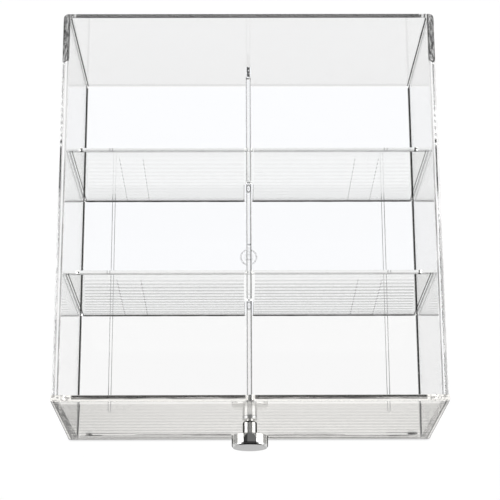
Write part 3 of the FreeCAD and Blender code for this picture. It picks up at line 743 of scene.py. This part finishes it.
def add_piece(name, mesh, material):
    """A piece that rides with the drawer."""
    mesh.materials.append(material)
    made = add_object(name, mesh)
    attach(made, BODY)
    return made


def cement_bead(name, low, high, wall, leg, side):
    """A bead in the corner of floor and wall, from x = low to high.

    Its section is the corner, and a quarter circle that is hollow towards the open side; its leg swells
    and thins a little along the joint, as the sum of two sines, and runs out to nothing at both ends.
    """
    along = np.linspace(low, high, 120)[:, None]
    near = np.minimum(along - low, high - along)
    swell = 1 + 0.06 * np.sin(along * 0.31) + 0.04 * np.sin(along * 0.83 + 1)
    size = leg * swell * np.clip(near / 1.2, 0.03, 1) ** 0.5
    turn = np.linspace(0, np.pi / 2, 9)[None]
    out = np.concatenate([size * (1 - np.sin(turn)), 0 * size], 1)
    rise = np.concatenate([size * (1 - np.cos(turn)), 0 * size], 1)
    across = np.broadcast_to(along, out.shape)
    return skin(name, np.stack([across, wall + side * (CEMENT_LIFT + out), FLOOR_TOP + CEMENT_LIFT + rise], -1))


def cement_pool(name, place, reach):
    """A pool of cement on the floor: the upper half of an ellipsoid, from its left tip to its right one."""
    share = np.linspace(0.02, np.pi - 0.02, 24)[:, None]
    turn = np.linspace(0, 2 * np.pi, 24, endpoint=False)[None]
    across = place[0] - reach[0] * np.cos(share) + 0 * turn
    along = place[1] + reach[1] * np.sin(share) * np.cos(turn)
    up = FLOOR_TOP + CEMENT_LIFT + reach[2] * np.sin(share) * np.maximum(np.sin(turn), 0)
    return skin(name, np.stack([across, along, up], -1))


def knob_mesh(metal):
    """The knob's outline of (radius, place) points, turned.

    A stem with a root bevelled as a quarter ellipse, a disc, and a front edge rounded as another one.
    """
    back, front = KNOB_HIGH[1], KNOB_LOW[1]
    disc, stem = (KNOB_HIGH[2] - KNOB_LOW[2]) / 2, STEM_RADIUS
    shoulder = PANEL_LOW[1] - STEM_LENGTH
    rounding = metal.rounding / MM
    rim = front + rounding
    root_width, root_depth, rim_width, middle_hole = 1.4, 1.2, 0.74, 0.05
    turn = np.linspace(0, np.pi / 2, 14)
    root = np.stack([stem - root_width * (1 - np.sin(turn)), back - root_depth * (1 - np.cos(turn))], -1)
    edge = np.stack([disc - rim_width * (1 - np.cos(turn)), front + rounding * (1 - np.sin(turn))], -1)
    face = np.linspace((disc - rim_width - 0.04, front), (middle_hole, front), 12)
    outline = np.concatenate([
        [(middle_hole, back), (stem - root_width - 0.02, back)], root,
        [(stem, back - root_depth - 0.05), (stem, shoulder + 0.34), (stem, shoulder + 0.3)],
        [(stem + 0.05, shoulder + 0.1), (stem + 0.25, shoulder + 0.01), (stem + 0.3, shoulder)],
        [(disc - 0.3, shoulder), (disc - 0.25, shoulder - 0.02), (disc - 0.03, shoulder - 0.22)],
        [(disc, shoulder - 0.27), (disc, shoulder - 0.3), (disc, rim + 0.09), (disc, rim + 0.05)], edge, face,
    ])
    centre = (KNOB_LOW[2] + KNOB_HIGH[2]) / 2
    return skin("turned_knob", turned(outline[:, :1], outline[:, 1], centre, 128))


def screw_mesh(metal):
    """A pan-head screw: a threaded shank, a domed head, and a cross sunk into it.

    The shank's radius rises and falls with the height over the pitch less the turn, which makes a helix. The
    cross is sunk by the share of two crossing bars at each point.
    """
    low, high = SCREW_LOW[1], SCREW_HIGH[1]
    centre = (SCREW_LOW[2] + SCREW_HIGH[2]) / 2
    head = (SCREW_HIGH[2] - SCREW_LOW[2]) / 2
    pitch, segments = metal.pitch / MM, 96
    core, depth, tip, neck = 1.55, 0.43, 1.25, 1.98
    dome_height, recess_depth, recess_rise = 1.3, 1.4, 0.35
    seat = high - PAN_HEAD_HEIGHT
    turn = np.linspace(0, 2 * np.pi, segments, endpoint=False)[None]
    shank = np.arange(low, seat, pitch / 8)[:, None]
    tooth = np.abs(((shank / pitch - turn / (2 * np.pi)) % 1) * 2 - 1)
    thread = core + depth * np.clip(tooth * 1.15 - 0.05, 0, 1)
    thread = np.minimum(thread, tip + (shank - low))
    dome = np.linspace(0, np.pi / 2, 16)[:, None]
    inward = 1 - np.linspace(0, 1, 20)[1:, None]
    crown = head - dome_height
    head_radius = np.concatenate([
        [[neck], [head - 0.05], [head]], head - dome_height * (1 - np.cos(dome)), crown * inward + 0.04,
    ])
    head_place = np.concatenate([
        [[seat], [seat], [seat + 0.05]], high - dome_height + dome_height * np.sin(dome), np.full((19, 1), high),
    ])
    span, width = metal.recess / MM / 2, 0.5
    x, z = head_radius * np.sin(turn), head_radius * np.cos(turn)
    bars = [
        np.clip((width - np.abs(a)) / 0.15 + 0.5, 0, 1) * np.clip((span - np.abs(b)) / 0.25 + 0.5, 0, 1)
        for a, b in ((x, z), (z, x))
    ]
    sink = np.maximum(*bars) * (recess_depth - recess_rise * np.hypot(x, z) / span) * (head_place > high - dome_height)
    rings = np.concatenate([
        turned(thread, shank, centre, segments),
        turned(head_radius, head_place - sink, centre, segments),
    ])
    return skin("threaded_screw", rings)


def softbox(name, size, place, aim, power):
    """A square lamp at one place, turned to another."""
    lamp = bpy.data.lights.new(name, "AREA")
    lamp.shape = "RECTANGLE"
    lamp.size, lamp.size_y = size
    lamp.energy = power
    made = add_object(name, lamp)
    made.location = place
    made.rotation_euler = (Vector(aim) - Vector(place)).to_track_quat("-Z", "Y").to_euler()
    return made


# Operators

class STAGE_OT_studio(bpy.types.Operator):
    """Make the white sweep, the soft boxes, the world and the camera"""

    bl_idname = "stage.studio"
    bl_label = "Studio"

    def execute(self, context):
        studio = context.scene.drawer_studio
        reach, sink = 3.0, -0.00008
        corners = [(-reach, -reach, sink), (reach, -reach, sink), (reach, reach, sink), (-reach, reach, sink)]
        paper = bpy.data.meshes.new("studio_floor")
        paper.from_pydata(corners, [], [(0, 1, 2, 3)])
        sweep = add_object("studio_floor", paper)
        sweep.data.materials.append(white_sweep(studio))
        middle, right_share = (0, 0, 0), 1.17
        softbox("left_softbox", (1.2, 1.2), (-1.34, 0.0, 0.70), middle, studio.lamp_power)
        softbox("right_softbox", (1.2, 1.4), (1.38, 0.0, 0.62), middle, studio.lamp_power * right_share)
        self.make_world(context, studio)
        camera = bpy.data.cameras.new("studio_camera")
        camera.lens = studio.lens
        camera.sensor_width = 36
        camera.clip_start, camera.clip_end = 0.01, 20
        made = add_object("studio_camera", camera)
        made.matrix_world = (
            Matrix.Translation(studio.place)
            @ Matrix.Rotation(studio.turn, 4, "Z")
            @ Matrix.Rotation(studio.tilt, 4, "X")
            @ Matrix.Rotation(studio.roll, 4, "Z")
        )
        context.scene.camera = made
        context.scene.view_settings.view_transform = "Standard"

        # Light crosses many faces of clear plastic on its way through the drawer.
        cycles, deep = context.scene.cycles, 48
        cycles.max_bounces = cycles.transmission_bounces = cycles.transparent_max_bounces = deep
        cycles.glossy_bounces = deep // 2
        return {"FINISHED"}

    def make_world(self, context, studio):
        """White to the eye. In a mirror, a white card round the lens and a grey ceiling, dark at its left end."""
        world = bpy.data.worlds.new("studio_air")
        world.use_nodes = True
        tree = world.node_tree
        tree.nodes.clear()
        direction = node(tree, "ShaderNodeTexCoord").outputs["Generated"]
        across, along, up = node(tree, "ShaderNodeSeparateXYZ", {0: direction}).outputs
        overhead = zone(tree, (up, 0.67, None, 0.15), (along, -0.06, None, 0.12))
        overhead = darken(tree, overhead, zone(tree, (across, None, -0.27, 0.08)), 0.8)
        strength = profile(tree, overhead, (0.0, studio.room), (1.0, studio.ceiling))
        card = zone(tree, (along, -0.30, -0.12, 0.05), (across, -0.62, 0.62, 0.05), (up, 0.6, None, 0.05))
        strength = node(tree, "ShaderNodeMath", {0: card, 1: 0.85, 2: strength}, operation="MULTIPLY_ADD").outputs[0]
        grey = node(tree, "ShaderNodeBackground", {"Color": (1, 1, 1, 1), "Strength": strength})
        white = node(tree, "ShaderNodeBackground", {"Color": (1, 1, 1, 1), "Strength": 1.0})
        light = node(tree, "ShaderNodeLightPath")
        mix = node(tree, "ShaderNodeMixShader", {
            0: light.outputs["Is Camera Ray"], 1: grey.outputs[0], 2: white.outputs[0],
        })
        node(tree, "ShaderNodeOutputWorld", {"Surface": mix.outputs[0]})
        context.scene.world = world


def assign(name, material):
    """Give a CAD node one material."""
    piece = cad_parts[name]
    piece.data.materials.clear()
    piece.data.materials.append(material)


class DRAWER_OT_tray(bpy.types.Operator):
    """Give the tray its clear moulded acrylic"""

    bl_idname = "drawer.tray"
    bl_label = "Tray"

    def execute(self, context):
        assign("drawer_tray", moulded_tray_acrylic())
        return {"FINISHED"}


class DRAWER_OT_panel(bpy.types.Operator):
    """Give the front panel its clear sheet"""

    bl_idname = "drawer.front_panel"
    bl_label = "Front panel"

    def execute(self, context):
        assign("front_panel", cast_panel_acrylic())
        return {"FINISHED"}


class DRAWER_OT_dividers(bpy.types.Operator):
    """Give the three dividers their clear acrylic"""

    bl_idname = "drawer.dividers"
    bl_label = "Dividers"

    def execute(self, context):
        assign("centre_divider", centre_divider_acrylic())
        for name, look in (
            ("front_cross_divider", dict(tone=1.0, contrast=0.40, lines=0.5, mirrors=1.0, shift=0.0)),
            ("rear_cross_divider", dict(tone=0.97, contrast=0.055, lines=0.25, mirrors=0.95, shift=0.8)),
        ):
            assign(name, cross_divider_acrylic(name, **look))
        return {"FINISHED"}


class DRAWER_OT_cement(bpy.types.Operator):
    """Lay the beads of cement in the joints"""

    bl_idname = "drawer.cement"
    bl_label = "Cement"

    def execute(self, context):
        cement = context.scene.drawer_cement
        leg, gap = cement.divider_leg / MM, cement.gap / MM
        # The cement is painted dark as shade: near black before the dividers, and pale behind the panel, paler on the
        # right.
        dark = set_cement("set_cement_before_dividers", 0.96)
        pale = {
            "left": set_cement("set_cement_behind_panel_left", 0.14),
            "right": set_cement("set_cement_behind_panel_right", 0.03),
        }
        for name in ("front_cross_divider", "rear_cross_divider"):
            wall = node_box(name)[0][1]
            for side, low, high in (("left", -FLOOR_HALF + 0.6, -gap), ("right", gap, FLOOR_HALF - 0.6)):
                piece = "%s_cement_%s" % (name, side)
                add_piece(piece, cement_bead(piece, low, high, wall, leg, -1), dark)
        wall = PANEL_HIGH[1]
        for side, low, high in (("left", -FLOOR_HALF + 1, -gap), ("right", gap, FLOOR_HALF - 1)):
            piece = "front_panel_cement_" + side
            add_piece(piece, cement_bead(piece, low, high, wall, cement.panel_leg / MM, 1), pale[side])
        pools = (
            ((-85.2, wall + 1.15), (4.2, 0.2)), ((-87.6, wall + 1.75), (1.1, 0.65)),
            ((89.2, wall + 1.75), (2.4, 0.6)), ((80.5, wall + 0.9), (4.0, 0.22)),
        )
        for index, (place, reach) in enumerate(pools):
            piece = "front_panel_cement_pool_%d" % (index + 1)
            add_piece(piece, cement_pool(piece, place, (*reach, 0.5)), dark)
        return {"FINISHED"}


class DRAWER_OT_metal_pieces(bpy.types.Operator):
    """Make the turned knob and its threaded screw"""

    bl_idname = "drawer.metal_pieces"
    bl_label = "Metal pieces"

    def execute(self, context):
        metal = context.scene.drawer_metal
        knob = add_piece("turned_knob", knob_mesh(metal), polished_chrome(metal))
        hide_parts("knob")
        screw = add_piece("threaded_screw", screw_mesh(metal), zinc_plated_steel(metal))
        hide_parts("knob_screw")
        return {"FINISHED"}


class VIEW3D_PT_pod_drawer(bpy.types.Panel):
    """Lists the operators that dress the drawer"""

    bl_label = "Pod drawer"
    bl_space_type = "VIEW_3D"
    bl_region_type = "UI"
    bl_category = "Pod drawer"

    def draw(self, context):
        for item in OPERATORS:
            self.layout.operator(item.bl_idname)


OPERATORS = (
    STAGE_OT_studio, DRAWER_OT_tray, DRAWER_OT_panel, DRAWER_OT_dividers, DRAWER_OT_cement, DRAWER_OT_metal_pieces,
)
SETTINGS = {"drawer_studio": DrawerStudio, "drawer_metal": DrawerMetal, "drawer_cement": DrawerCement}
CLASSES = (*SETTINGS.values(), *OPERATORS, VIEW3D_PT_pod_drawer)


def register():
    for item in CLASSES:
        bpy.utils.register_class(item)
    for name, group in SETTINGS.items():
        setattr(bpy.types.Scene, name, PointerProperty(type=group))


def unregister():
    for name in SETTINGS:
        delattr(bpy.types.Scene, name)
    for item in reversed(CLASSES):
        bpy.utils.unregister_class(item)


def main():
    register()
    bpy.ops.stage.studio()
    bpy.ops.drawer.tray()
    bpy.ops.drawer.front_panel()
    bpy.ops.drawer.dividers()
    bpy.ops.drawer.cement()
    bpy.ops.drawer.metal_pieces()


if __name__ == "__main__":
    main()
